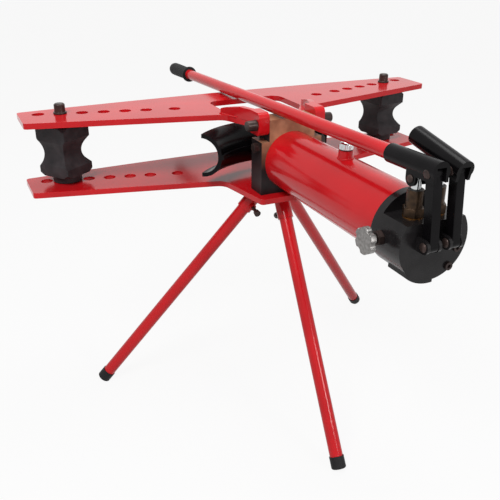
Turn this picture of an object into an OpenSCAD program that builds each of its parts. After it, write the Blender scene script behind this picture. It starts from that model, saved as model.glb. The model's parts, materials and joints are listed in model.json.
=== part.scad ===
// Hydraulic pipe bender on a tripod: two winged plates, a ram with a bending die, two hand pumps.
// Millimetres, +Z up. X runs along the wings, +Y from the pump end towards the die.

/* [Winged plates] */
// Length of both wings from tip to tip
wing_len = 1000; // [800:10:1200]
// Thickness of each plate
plate_t = 12; // [8:0.5:16]
// Free height between the two plates
plate_gap = 136; // [126:1:160]
// Height of the lower plate's top face over the floor
plate_h = 515; // [420:5:620]
// Back edge of the wings at the tips, from the block's pump face
wing_back = 311; // [290:1:330]
// Extra bow of the back edge in the middle
wing_bow = 16; // [4:1:30]
// Depth of the wing at its tip
tip_depth = 102; // [85:1:120]
// Half width of the plates where wing and stem meet
kink_x = 104; // [98:1:120]
// Place of that corner from the block's pump face
kink_y = 117; // [105:1:130]
// Half width of the stem at its pump end
stem_half_w = 80; // [74:1:90]
// How far the lower stem reaches past the block's pump face
stem_reach = 25; // [10:1:40]
// Half width of the window in the upper plate
window_half_w = 90; // [80:1:94]
// Back end of the window, from the block's pump face
window_back = 243; // [220:1:262]
// Diameter of the pin holes
hole_d = 26; // [25.6:0.1:28]
// Place of the innermost pin hole, as a share of the wing from the middle to its tip
hole_first_share = 0.36; // [0.33:0.005:0.39]
// Place of the second pin hole, as a share of the wing
hole_second_share = 0.48; // [0.45:0.005:0.5]
// Distance from each later pin hole to the next, as a share of the wing
hole_pitch_share = 0.088; // [0.08:0.001:0.09]
// Pin holes in each wing
hole_count = 7; // [6:1:7]
// Which hole holds the roller, counted from the middle
roller_hole = 6; // [5:1:6]

/* [Frame block] */
// Half width of the block between the plates
block_half_w = 70; // [66:1:74]
// Depth of the block along the ram
block_d = 48; // [40:1:60]
// Half width of the block between the hinge lugs
crown_half_w = 52.5; // [46:0.5:56]
// Width of each hinge lug
lug_w = 23; // [16:1:28]
// Height of the hinge lugs and their ribs over the upper plate
lug_rise = 24; // [16:1:40]
// Diameter of the hinge bolts
hinge_d = 16; // [12:1:20]

/* [Ram and die] */
// Diameter of the ram rod
rod_d = 50; // [40:1:54]
// Bore of the pressure tube
bore_d = 84; // [76:1:88]
// Outer diameter of the pressure tube
pressure_d = 100; // [94:1:102]
// Outer diameter of the reservoir tube
tank_d = 123.2; // [118:0.2:126]
// Length of the reservoir tube
tank_len = 377; // [340:1:420]
// Wall of the reservoir tube
tank_wall = 4.6; // [3:0.1:5]
// Radius of the die's groove, half the pipe it bends
groove_r = 38; // [28:0.5:40]
// Wall of the die round its groove
die_wall = 8.5; // [6:0.5:10]
// Bend radius at the pipe's middle line
bend_r = 226; // [205:1:240]
// Angle that the die covers
die_angle = 90; // [70:1:100]
// Front of the die's lips from the block's pump face, ram drawn in
die_front = 172; // [160:1:190]

/* [Rollers] */
// Width of a roller across two facing lips
roller_w = 80; // [70:1:100]
// Diameter of the roller pins
roller_pin_d = 25; // [22:0.5:25.4]
// Diameter of the round bosses that slide on the plates
roller_boss_d = 62; // [50:1:70]
// Turn of the left roller as it stands
left_roller_turn = 126; // [0:1:359]
// Turn of the right roller as it stands
right_roller_turn = 8; // [0:1:359]

/* [Pump] */
// Diameter of the pump body
pump_d = 130; // [126:0.5:136]
// Length of the pump body
pump_len = 75; // [68:1:90]
// Distance between the two pumps
pump_pitch = 42; // [38:0.5:46]
// Diameter of the pump plungers
plunger_d = 16; // [12:0.5:16]
// Height of the milled flat over the ram's axis
pump_flat = 35; // [30:0.5:40]
// Diameter of the pump barrels
barrel_d = 26; // [22:0.5:28]
// Length of the pump barrels over the flat
barrel_len = 44; // [38:0.5:48]

/* [Levers and handle] */
// Slope of the working lever at its lowest
lever_slope = -1.9; // [-2.2:0.1:2]
// Slope of the spare lever as it stands
spare_slope = 12; // [0:0.5:30]
// Outer diameter of the lever sockets
socket_d = 31; // [29:0.5:34]
// Distance from a lever's pivot to its socket's mouth
socket_reach = 102; // [85:1:120]
// Distance from a lever's pivot to the plunger pin
plunger_arm = 35.5; // [30:0.5:40]
// Distance of the plunger pin below the lever's pivot
plunger_drop = 16.8; // [12:0.2:20]
// Diameter of the lever pins
lever_pin_d = 10; // [8:0.5:12]
// Width of a link between the pump's ears
link_w = 16; // [12:0.5:17]
// Diameter of the handle tube
handle_d = 25; // [22:0.5:26]
// Length of the handle from the lever's pivot to the end of its grip
handle_reach = 1122; // [800:1:1200]
// Length of the rubber grip
grip_len = 126; // [90:1:150]
// Diameter of the rubber grip
grip_d = 33; // [30:0.5:38]

/* [Tripod] */
// Diameter of the leg tubes
leg_d = 28; // [24:0.5:30]
// Wall of the leg tubes
leg_wall = 2.5; // [1.5:0.1:4]
// Outer diameter of the leg sockets
leg_socket_d = 34; // [32:0.5:40]
// Length of the leg sockets
leg_socket_len = 56; // [50:1:90]
// Distance of each leg's axis from the tripod's middle, at the plate
leg_ring = 34; // [30:1:44]
// Lean of the left leg from upright
left_tilt = 38.4; // [34:0.1:42]
// Lean of the right leg from upright
right_tilt = 40.1; // [34:0.1:42]
// Lean of the rear leg from upright
rear_tilt = 34.7; // [30:0.1:42]

/* [Hidden] */
$fn = 64;
over = 1;                     // overrun of every cut
run_gap = 0.08;               // radial clearance of a running fit
seat_gap = 0.03;              // radial clearance of a fit inside one body
side_gap = 0.35;              // clearance beside a moving piece
bend_steps = 8;               // straight steps of each rounded corner
left_azimuth = 160;           // where the left leg points, seen from above
right_azimuth = 27.6;         // where the right leg points
rear_azimuth = 265.5;         // where the rear leg points
leg_sides = ["left", "right", "rear"];
RED = "#b3121c";
BLACK = "#1b1a1c";
DARK = "#2c2b2d";
STEEL = "#b9bcc0";
BRASS = "#a5763c";

// Plates
wing_x = wing_len / 2;
upper_z = plate_gap;
tip_r = 8;
kink_r = 26;
stem_r = 8;
wing_front = wing_back - tip_depth;
hole_row_rise = 120.7;
hole_row_back = 42;
hole_row_y = wing_front - hole_row_back;
hole_shares = concat([hole_first_share], [for (k = [0:hole_count - 2]) hole_second_share + k * hole_pitch_share]);
hole_xs = [for (share = hole_shares) share * wing_x];
function hole_y(x) = hole_row_y + hole_row_rise * x / wing_x;
window_neck_y = 78;
window_flare_y = 128;
window_r = 24;
arm_half_w = crown_half_w + side_gap + lug_w;

// Block, lugs and hinge bolts
axis_z = plate_gap / 2;
crown_drop = 24;
crown_z = plate_gap - crown_drop;
crown_rise = 9;
crown_top = plate_gap + plate_t + crown_rise;
lug_len = block_d - 2 * over;
lug_drop = 11;
lug_r = 12;
lug_top = plate_gap + plate_t + lug_rise;
rib_t = 12;
rib_out = 2;
rib_back = 15;
hinge_y = 14;
hinge_z = plate_gap + plate_t - 2 * over;
hinge_depth = 22;
side_bolt_d = 12;
side_bolt_head_d = 20;
side_bolt_head_t = 13;
side_bolt_y = 14;
side_bolt_drop = 12;
side_bolt_depth = 18;
hinge_head_d = 23;
hinge_head_t = 22;
spigot_len = 12;
block_screw_d = 12;
block_screw_head_d = 18;
block_screw_head_t = 7;
block_screw_depth = 26;
block_screw_in = 16;
block_screw_edge = 12;
block_screw_x = block_half_w - block_screw_in;
block_screw_ys = [block_screw_edge, block_d - block_screw_edge];

// Cylinder and ram
tank_r = tank_d / 2;
tank_r_in = tank_r - tank_wall;
pump_y = -tank_len;
seat_depth = 8;
ring_d = 4;
guide_r = 38;
guide_flange_r = 45;
guide_flange_t = 6;
wiper_w = 6;
wiper_t = 5;
piston_len = 40;
piston_gap = 5;
piston_start = pump_y + piston_gap;
piston_front = piston_start + piston_len;
rod_tail_d = 30;
rod_tail_len = 22;
rod_end = 116;
rod_chamfer = 4;
spring_wire = 5;
spring_turns = 16;
spring_r = 34;
filler_y = -198;
filler_d = 27;
filler_h = 14.5;
filler_cap_d = 26;
filler_cap_t = 14.5;
filler_stem_d = 14;
filler_seal_t = 2;

// Die
die_r = groove_r + die_wall;
die_y = die_front - bend_r;
lip_past = 0;
hub_r = 33;
hub_start = 66;
hub_end = die_front - die_wall;
ridge_h = 9;
ridge_out = 4;
die_pin_d = 10;
die_pin_y = 92;
die_pin_depth = 40;

// Rollers
roller_end_gap = 1.5;
roller_h = plate_gap - 2 * roller_end_gap;
roller_y = hole_y(hole_xs[roller_hole - 1]);
roller_x = hole_xs[roller_hole - 1];
roller_top_boss = 8;
roller_low_boss = 16;
roller_top_z = roller_h / 2 - roller_top_boss;
roller_low_z = roller_low_boss - roller_h / 2;
roller_corner_share = 0.69;
roller_corner_r = roller_corner_share * roller_w;
roller_lip_r = 7;
roller_groove_rs = [44, 62, 52, 26];
roller_groove_depths = [14, 6, 10, 20];
pin_head_d = hole_d + 2;
pin_head_h = 22;
pin_collar_h = 4;
pin_stub_d = hole_d - 3;
pin_tail = 12;
pin_chamfer = 2.5;

// Pump body
pump_r = pump_d / 2;
collar_len = 15;
pump_back = pump_y - pump_len;
pump_axis_in = 31.5;
pump_axis_y = pump_back + pump_axis_in;
flat_z = axis_z + pump_flat;
foot_boss_out = 5;
foot_boss_r = pump_r + foot_boss_out;
foot_boss_x = [-46, 6];
foot_boss_len = 46;
chamber_d = 18;
chamber_depth = 46;
chamber_floor = flat_z - chamber_depth;
spigot_d = 22;
spigot_depth = 18;
washer_t = 1.5;
hex_af = 30;
hex_h = 14;
hex_r = hex_af / sqrt(3);
seal_w = 3;
seal_h = 5;
ball_d = 10;
valve_wire = 1.4;
valve_turns = 5;
valve_r = 4.2;
valve_seat = 1.7;
plug_d = 14;
plug_depth = 12;
plug_head = 4;
plug_hex = 7;
plug_spots = [[34, 14], [46, 44]];
release_in = 26;
release_y = pump_y - release_in;
release_z = axis_z;
release_d = 12;
gland_hex = 26;
gland_t = 9;
spindle_in = 30;
knob_d = 45;
knob_t = 10;
knob_lobes = 6;
knob_gap = 12;
knob_hub_d = 16;

// Levers, links and plungers
base_y = pump_back - 16;
base_z = axis_z + 4;
link_rise = [11.5, 111];
link_share = 0.0323;
function lean(k) = link_share * (slopes[k] - lever_slope);
function pivot(k) = [base_y, base_z] + turned(link_rise, lean(k));
ear_r = 11;
ear_t = 5;
link_r = 10;
link_neck = 18;
socket_rise = 5;
socket_back = 15;
socket_bore = 46;
slot_half_w = plunger_d / 2 + side_gap;
slot_front = 54;
cheek_half_w = 13.5;
cheek_r = 11.5;
plunger_pin_d = 8;
plunger_pin_gap = 0.5;
plunger_pin_run = 3.4;
plunger_eye = 9.5;
plunger_low = flat_z - 14;
pump_xs = [-pump_pitch / 2, pump_pitch / 2];
slopes = [lever_slope, spare_slope];
handle_wall = 2.5;
grip_cap = 4;
grip_collar_d = 40;
grip_collar_t = 7;

// Tripod
hub_y = 74;
foot_t = 5;
foot_wall = 1.5;
foot_cover = 21;
foot_chamfer = 2;
foot_flat = 1.5;
foot_r = leg_d / 2 + foot_wall;
tripod_t = 8;
tripod_r = 56;
screw_d = 8;
screw_place = 38;
screw_boss_d = 15;
screw_boss_h = 6;
screw_len = 24;
screw_knob_d = 15;
screw_knob_t = 10;
tripod_z = -plate_t - tripod_t;
floor_cut = 4 * plate_h;
tilts = [left_tilt, right_tilt, rear_tilt];
azimuths = [left_azimuth, right_azimuth, rear_azimuth];
screw_turns = [-25, 180, -90];

// The bench frame's place in the part's frame: the middle of the whole length over the floor
grip_end = [handle_reach, socket_rise + (lever_slope < 0 ? grip_d : -grip_d) / 2];
handle_end_y = pivot(0).x + turned(grip_end, lever_slope).x;
ear_end_y = base_y - ear_r;
bench_y = -(handle_end_y + ear_end_y) / 2;

// A point (y, z) turned by an angle about the X axis
function turned(p, a) = [p.x * cos(a) - p.y * sin(a), p.x * sin(a) + p.y * cos(a)];
function unit(v) = v / norm(v);

// Corners given as [x, y, radius] become an outline whose corners are arcs
function corner_arc(a, b, c, r) =
    let (u = unit(a - b), v = unit(c - b), half = acos(u * v) / 2, reach = r / tan(half),
         mid = b + unit(u + v) * r / sin(half), from = b + u * reach - mid, to = b + v * reach - mid,
         start = atan2(from.y, from.x), swing = atan2(to.y, to.x) - start,
         sweep = swing > 180 ? swing - 360 : swing < -180 ? swing + 360 : swing)
    [for (i = [0:bend_steps]) mid + r * [cos(start + sweep * i / bend_steps), sin(start + sweep * i / bend_steps)]];
function flat2(p) = [p.x, p.y];
function rounded(pts) = [for (i = [0:len(pts) - 1])
    each (pts[i].z == 0 ? [flat2(pts[i])] : corner_arc(flat2(pts[(i + len(pts) - 1) % len(pts)]), flat2(pts[i]),
        flat2(pts[(i + 1) % len(pts)]), pts[i].z))];
function both_sides(pts) = concat(pts, [for (i = [len(pts) - 1:-1:0]) [-pts[i].x, pts[i].y, pts[i].z]]);

// The helix of a wound spring: rings of a round wire round the Z axis, closed at both ends
wire_sides = 6;
turn_rings = 8;
module helix(r, wire, h, turns) {
    rings = turns * turn_rings;
    points = [for (i = [0:rings], k = [0:wire_sides - 1])
        let (a = 360 * i / turn_rings, w = 360 * k / wire_sides, d = r + wire / 2 * cos(w))
        [d * cos(a), d * sin(a), wire / 2 + (h - wire) * i / rings + wire / 2 * sin(w)]];
    sides = [for (i = [0:rings - 1], k = [0:wire_sides - 1])
        let (n = (k + 1) % wire_sides, p = i * wire_sides, q = p + wire_sides)
        each [[p + k, q + k, q + n], [p + k, q + n, p + n]]];
    ends = [for (k = [1:wire_sides - 2])
        each [[0, k, k + 1], [rings * wire_sides, rings * wire_sides + k + 1, rings * wire_sides + k]]];
    polyhedron(points, concat(sides, ends));
}

// Places
module bench() { translate([0, bench_y, plate_h]) children(); }
module along_y(y) { translate([0, y, axis_z]) rotate([-90, 0, 0]) children(); }
module across_x(x, y, z) { translate([x, y, z]) rotate([0, 90, 0]) children(); }
module leg_place(k) {
    translate([leg_ring * cos(azimuths[k]), hub_y + leg_ring * sin(azimuths[k]), tripod_z])
        rotate([0, 180 - tilts[k], azimuths[k]]) children();
}
module screw_placed(k) {
    leg_place(k) translate([0, 0, screw_place]) rotate([0, 0, screw_turns[k]]) rotate([-90, 0, 0]) children();
}
module lever_placed(k) { translate([pump_xs[k], pivot(k).x, pivot(k).y]) rotate([slopes[k], 0, 0]) children(); }
module tube(r, r_in, h) {
    difference() {
        cylinder(r = r, h = h);
        translate([0, 0, -over]) cylinder(r = r_in, h = h + 2 * over);
    }
}
module ring(r, wire) { rotate_extrude() translate([r, 0]) circle(d = wire, $fn = 24); }

// Winged plates
back_steps = 8;
function wing_half() = concat(
    [for (i = [0:back_steps - 1]) let (u = i / back_steps) [wing_x * u, wing_back + wing_bow * (1 - u * u), 0]],
    [[wing_x, wing_back, tip_r], [wing_x, wing_front, tip_r], [kink_x, kink_y, kink_r]]);
module plate_holes() {
    for (side = [-1, 1], x = hole_xs)
        translate([side * x, hole_y(x), -over]) cylinder(d = hole_d, h = plate_t + 2 * over);
}
module lower_wing_plate() {
    outline = rounded(both_sides(concat(wing_half(), [[stem_half_w, -stem_reach, stem_r]])));
    color(RED) bench() translate([0, 0, -plate_t]) difference() {
        linear_extrude(plate_t) polygon(outline);
        plate_holes();
        for (side = [-1, 1], y = block_screw_ys)
            translate([side * block_screw_x, y, -over])
                cylinder(d = block_screw_d + 2 * seat_gap, h = plate_t + 2 * over);
    }
}
module upper_wing_plate() {
    neck = crown_half_w + side_gap;
    outline = rounded(both_sides(concat(wing_half(),
        [[arm_half_w, block_d, stem_r], [arm_half_w, lug_len, 0]])));
    window = rounded(both_sides([[window_half_w, window_back, window_r],
        [window_half_w, window_flare_y, window_r], [neck, window_neck_y, window_r], [neck, -over, 0]]));
    color(RED) bench() translate([0, 0, upper_z]) difference() {
        linear_extrude(plate_t) polygon(outline);
        plate_holes();
        translate([0, 0, -over]) linear_extrude(plate_t + 2 * over) polygon(window);
    }
}

// Frame block with its crown between the hinge lugs
module frame_block() {
    color(DARK) bench() difference() {
        union() {
            translate([-block_half_w, 0, 0]) cube([2 * block_half_w, block_d, crown_z]);
            translate([-crown_half_w, 0, 0]) cube([2 * crown_half_w, block_d, crown_top]);
            along_y(-spigot_len) cylinder(r = tank_r_in - seat_gap, h = spigot_len + over);
        }
        along_y(-spigot_len - over) cylinder(d = pressure_d + 2 * seat_gap, h = spigot_len + seat_depth + over);
        along_y(0) cylinder(r = guide_r + seat_gap, h = block_d + over);
        along_y(-spigot_len / 2) ring(tank_r_in - ring_d / 2, ring_d + seat_gap);
        for (side = [-1, 1]) {
            across_x(side * crown_half_w, hinge_y, hinge_z)
                cylinder(d = hinge_d + 2 * seat_gap, h = 2 * hinge_depth, center = true);
            across_x(side * block_half_w, side_bolt_y, crown_z - side_bolt_drop)
                cylinder(d = side_bolt_d + 2 * seat_gap, h = 2 * side_bolt_depth, center = true);
            for (y = block_screw_ys) translate([side * block_screw_x, y, -over])
                cylinder(d = block_screw_d + 2 * seat_gap, h = block_screw_depth + over);
        }
    }
}
module hinge_lugs() {
    inner = crown_half_w + side_gap;
    nose = rounded([[0, plate_gap - lug_drop, lug_r], [lug_len, plate_gap - lug_drop, lug_r / 2],
        [lug_len, lug_top, 0], [0, lug_top, lug_r]]);
    root = [arm_half_w - rib_t / 2, lug_len / 2];
    end = [kink_x + rib_out, kink_y + rib_back];
    in = rib_t * [-unit(end - root).y, unit(end - root).x];
    rib = rounded([concat(root, 0), concat(end, rib_t / 3), concat(end + in, rib_t / 3), concat(root + in, 0)]);
    color(RED) bench() for (side = [0, 1]) mirror([1 - side, 0, 0]) difference() {
        union() {
            translate([inner, 0, 0]) rotate([90, 0, 90]) linear_extrude(lug_w) polygon(nose);
            translate([0, 0, plate_gap + plate_t]) linear_extrude(lug_rise) polygon(rib);
        }
        across_x(inner - over, hinge_y, hinge_z) cylinder(d = hinge_d + 2 * seat_gap, h = lug_w + 2 * over);
    }
}
module hinge_bolts() {
    head_x = crown_half_w + side_gap + lug_w;
    shank = side_gap + lug_w + hinge_depth - over;
    color(BLACK) bench() for (side = [-1, 1]) translate([side * head_x, hinge_y, hinge_z])
        rotate([0, side * 90, 0]) {
            translate([0, 0, -shank]) cylinder(d = hinge_d, h = shank);
            cylinder(d1 = hinge_head_d, d2 = hinge_head_d - pin_chamfer, h = hinge_head_t);
        }
}
module side_bolts() {
    color(BLACK) bench() for (side = [-1, 1])
        translate([side * block_half_w, side_bolt_y, crown_z - side_bolt_drop]) rotate([0, side * 90, 0]) {
            translate([0, 0, over - side_bolt_depth]) cylinder(d = side_bolt_d, h = side_bolt_depth - over);
            cylinder(d = side_bolt_head_d, h = side_bolt_head_t, $fn = 6);
        }
}
module block_screws() {
    color(BLACK) bench() for (side = [-1, 1], y = block_screw_ys)
        translate([side * block_screw_x, y, -plate_t]) {
            cylinder(d = block_screw_d, h = plate_t + block_screw_depth - over);
            translate([0, 0, -block_screw_head_t]) difference() {
                cylinder(d = block_screw_head_d, h = block_screw_head_t);
                translate([0, 0, -over]) cylinder(d = block_screw_d, h = block_screw_head_t / 2 + over, $fn = 6);
            }
        }
}

// Tripod plate, sockets, legs, feet and thumb screws
module tripod_plate() {
    color(RED) bench() translate([0, hub_y, tripod_z]) cylinder(r = tripod_r, h = tripod_t);
}
module leg_sockets() {
    color(RED) bench() intersection() {
        for (k = [0:2]) leg_place(k) difference() {
            union() {
                translate([0, 0, -leg_socket_d]) cylinder(d = leg_socket_d, h = leg_socket_len + leg_socket_d);
                translate([0, 0, screw_place]) rotate([0, 0, screw_turns[k]]) rotate([-90, 0, 0])
                    cylinder(d = screw_boss_d, h = leg_socket_d / 2 + screw_boss_h);
            }
            translate([0, 0, -2 * leg_socket_d]) cylinder(d = leg_d + 2 * run_gap, h = 2 * leg_socket_len + leg_socket_d);
            translate([0, 0, screw_place]) rotate([0, 0, screw_turns[k]]) rotate([-90, 0, 0])
                cylinder(d = screw_d + 2 * run_gap, h = leg_socket_d);
        }
        translate([-floor_cut / 2, -floor_cut / 2, tripod_z - floor_cut]) cube(floor_cut);
    }
}
// A foot's end is square to its leg, and stands on a small flat of its lower rim
function leg_run(k) =
    (plate_h + tripod_z - (foot_r - foot_chamfer) * sin(tilts[k]) + foot_flat) / cos(tilts[k]);
module leg(k) {
    top = leg_d / 2 * tan(tilts[k]) + side_gap;
    color(RED) bench() leg_place(k) translate([0, 0, top])
        tube(leg_d / 2, leg_d / 2 - leg_wall, leg_run(k) - foot_t - top);
}
module foot(k) {
    color(BLACK) bench() difference() {
        leg_place(k) translate([0, 0, leg_run(k) - foot_t - foot_cover]) difference() {
            union() {
                cylinder(r = foot_r, h = foot_cover + foot_t - foot_chamfer);
                translate([0, 0, foot_cover + foot_t - foot_chamfer])
                    cylinder(r1 = foot_r, r2 = foot_r - foot_chamfer, h = foot_chamfer);
            }
            translate([0, 0, -over]) cylinder(d = leg_d + 2 * seat_gap, h = foot_cover + over);
        }
        translate([-floor_cut / 2, -floor_cut / 2, -plate_h - floor_cut]) cube(floor_cut);
    }
}
module thumb_screw(k) {
    color(BLACK) bench() screw_placed(k) {
        translate([0, 0, leg_d / 2 + side_gap]) cylinder(d = screw_d, h = screw_len);
        translate([0, 0, leg_d / 2 + side_gap + screw_len])
            cylinder(d1 = screw_knob_d - pin_chamfer, d2 = screw_knob_d, h = screw_knob_t);
    }
}
module leg_left() { leg(0); }
module leg_right() { leg(1); }
module leg_rear() { leg(2); }
module foot_left() { foot(0); }
module foot_right() { foot(1); }
module foot_rear() { foot(2); }
module thumb_screw_left() { thumb_screw(0); }
module thumb_screw_right() { thumb_screw(1); }
module thumb_screw_rear() { thumb_screw(2); }

// Cylinder: tank, pressure tube, guide and seals
module reservoir_tube() {
    color(RED) bench() difference() {
        along_y(pump_y) tube(tank_r, tank_r_in, tank_len);
        translate([0, filler_y, axis_z]) cylinder(d = filler_stem_d + 2 * over, h = tank_r + over);
    }
}
module pressure_tube() {
    color(STEEL) bench() along_y(pump_y + spigot_len - seat_depth)
        tube(pressure_d / 2, bore_d / 2, tank_len - spigot_len + 2 * seat_depth);
}
module rod_guide() {
    color(BRASS) bench() difference() {
        union() {
            along_y(seat_depth) cylinder(r = guide_r, h = block_d - seat_depth);
            along_y(block_d) cylinder(r = guide_flange_r, h = guide_flange_t);
        }
        along_y(0) cylinder(d = rod_d + 2 * run_gap, h = block_d + guide_flange_t + over);
        along_y(block_d + guide_flange_t - wiper_t) cylinder(r = rod_d / 2 + wiper_w + seat_gap, h = wiper_t + over);
    }
}
module rod_wiper() {
    color(BLACK) bench() along_y(block_d + guide_flange_t - wiper_t)
        tube(rod_d / 2 + wiper_w, rod_d / 2 + run_gap, wiper_t);
}
module reservoir_seals() {
    color(BLACK) bench() for (y = [-spigot_len / 2, pump_y + spigot_len / 2])
        along_y(y) ring(tank_r_in - ring_d / 2 - seat_gap, ring_d - 2 * seat_gap);
}
module filler_boss() {
    color(RED) bench() translate([0, filler_y, 0]) difference() {
        translate([0, 0, axis_z]) cylinder(d = filler_d, h = tank_r + filler_h);
        translate([0, 0, axis_z]) rotate([90, 0, 0])
            cylinder(r = tank_r + seat_gap, h = 2 * filler_d, center = true);
        translate([0, 0, axis_z]) cylinder(d = filler_stem_d + 2 * run_gap, h = tank_r + filler_h + over);
    }
}
module filler_seal() {
    color(BLACK) bench() translate([0, filler_y, axis_z + tank_r + filler_h])
        tube(filler_cap_d / 2 - over, filler_stem_d / 2 + run_gap, filler_seal_t);
}
module filler_cap() {
    color(STEEL) bench() translate([0, filler_y, axis_z + tank_r + filler_h + filler_seal_t]) {
        difference() {
            cylinder(d = filler_cap_d, h = filler_cap_t);
            for (k = [0:11]) rotate(30 * k) translate([filler_cap_d / 2 + over / 2, 0, -over])
                cylinder(d = 2 * over + over, h = filler_cap_t + 2 * over, $fn = 24);
        }
        translate([0, 0, -filler_seal_t - filler_h + over])
            cylinder(d = filler_stem_d, h = filler_seal_t + filler_h - over);
    }
}

// Ram: rod, piston, seal, spring, die and its pin
module ram_rod() {
    color(STEEL) bench() difference() {
        union() {
            along_y(piston_front - rod_tail_len) cylinder(d = rod_tail_d, h = rod_tail_len);
            along_y(piston_front) cylinder(d = rod_d, h = rod_end - piston_front - rod_chamfer);
            along_y(rod_end - rod_chamfer) cylinder(d1 = rod_d, d2 = rod_d - 2 * rod_chamfer, h = rod_chamfer);
        }
        translate([0, die_pin_y, axis_z + rod_d / 2 - die_pin_depth / 4])
            cylinder(d = die_pin_d + 2 * seat_gap, h = die_pin_depth);
    }
}
module piston() {
    color(DARK) bench() difference() {
        along_y(piston_start) cylinder(d = bore_d - 2 * run_gap, h = piston_len);
        along_y(piston_front - rod_tail_len) cylinder(d = rod_tail_d + 2 * seat_gap, h = rod_tail_len + over);
        along_y(piston_start + piston_len / 2) ring(bore_d / 2 - ring_d / 2 - run_gap, ring_d + 2 * seat_gap);
    }
}
module piston_seal() {
    color(BLACK) bench() along_y(piston_start + piston_len / 2)
        ring(bore_d / 2 - ring_d / 2 - run_gap, ring_d - 2 * seat_gap);
}
module return_spring() {
    color(STEEL) bench() along_y(piston_front + side_gap)
        helix(spring_r, spring_wire, seat_depth - piston_front - 2 * side_gap, spring_turns);
}
module die_section() {
    translate([bend_r, 0]) difference() {
        circle(r = die_r);
        circle(r = groove_r);
        translate([lip_past, -2 * die_r]) square(4 * die_r);
    }
    translate([bend_r - die_r - ridge_out, -ridge_h / 2]) square([ridge_out + die_wall / 2, ridge_h]);
}
module bending_die() {
    color(BLACK) bench() difference() {
        union() {
            translate([0, die_y, axis_z]) rotate(90 - die_angle / 2) rotate_extrude(angle = die_angle, $fn = 128)
                die_section();
            along_y(hub_start) cylinder(r = hub_r, h = hub_end - hub_start);
        }
        translate([0, die_y, axis_z]) rotate_extrude($fn = 128) translate([bend_r, 0]) circle(r = groove_r);
        along_y(hub_start - over) cylinder(d = rod_d + 2 * seat_gap, h = rod_end - hub_start + 2 * over);
        translate([0, die_pin_y, axis_z]) cylinder(d = die_pin_d + 2 * seat_gap, h = 2 * hub_r);
    }
}
module die_pin() {
    color(STEEL) bench() translate([0, die_pin_y, axis_z + rod_d / 2 - die_pin_depth / 4])
        cylinder(d = die_pin_d, h = hub_r - rod_d / 2 + die_pin_depth / 4 + over);
}

// Rollers: four faces, each with a groove for another pipe
module roller_groove(r, depth) {
    reach = roller_w / 2 + r - depth;
    translate([reach, 0, 0]) rotate([90, 0, 0]) cylinder(r = r, h = 2 * roller_w, center = true);
    flank_x = roller_w / 2 - depth + r * (1 - cos(45));
    rotate([90, 0, 0]) linear_extrude(2 * roller_w, center = true)
        polygon([[flank_x, -r * sin(45)], [roller_w, -r * sin(45) - roller_w + flank_x],
                 [roller_w, r * sin(45) + roller_w - flank_x], [flank_x, r * sin(45)]]);
}
module roller(side) {
    turn = side < 0 ? left_roller_turn : right_roller_turn;
    tall = roller_top_z - roller_low_z;
    color(DARK) bench() translate([side * roller_x, roller_y, axis_z]) rotate(turn) difference() {
        union() {
            intersection() {
                translate([0, 0, roller_low_z]) union() {
                    cylinder(r1 = roller_corner_r - roller_lip_r, r2 = roller_corner_r, h = roller_lip_r);
                    translate([0, 0, roller_lip_r]) cylinder(r = roller_corner_r, h = tall - 2 * roller_lip_r);
                    translate([0, 0, tall - roller_lip_r])
                        cylinder(r1 = roller_corner_r, r2 = roller_corner_r - roller_lip_r, h = roller_lip_r);
                }
                translate([-roller_w / 2, -roller_w / 2, roller_low_z]) cube([roller_w, roller_w, tall]);
            }
            translate([0, 0, -roller_h / 2]) cylinder(d = roller_boss_d, h = roller_h);
        }
        for (k = [0:3]) rotate(90 * k) roller_groove(roller_groove_rs[k], roller_groove_depths[k]);
        translate([0, 0, -roller_h]) cylinder(d = roller_pin_d + 2 * run_gap, h = 2 * roller_h);
    }
}
module roller_pin(side) {
    top = upper_z + plate_t;
    color(DARK) bench() translate([side * roller_x, roller_y, 0]) {
        translate([0, 0, -plate_t - pin_tail])
            cylinder(d1 = roller_pin_d - 2 * pin_chamfer, d2 = roller_pin_d, h = pin_chamfer);
        translate([0, 0, -plate_t - pin_tail + pin_chamfer])
            cylinder(d = roller_pin_d, h = top + plate_t + pin_tail - pin_chamfer);
        translate([0, 0, top]) cylinder(d = pin_head_d, h = pin_collar_h);
        translate([0, 0, top]) cylinder(d = pin_stub_d, h = pin_head_h - pin_chamfer);
        translate([0, 0, top + pin_head_h - pin_chamfer])
            cylinder(d1 = pin_stub_d, d2 = pin_stub_d - 2 * pin_chamfer, h = pin_chamfer);
    }
}
module roller_left() { roller(-1); }
module roller_right() { roller(1); }
module roller_pin_left() { roller_pin(-1); }
module roller_pin_right() { roller_pin(1); }

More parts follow.
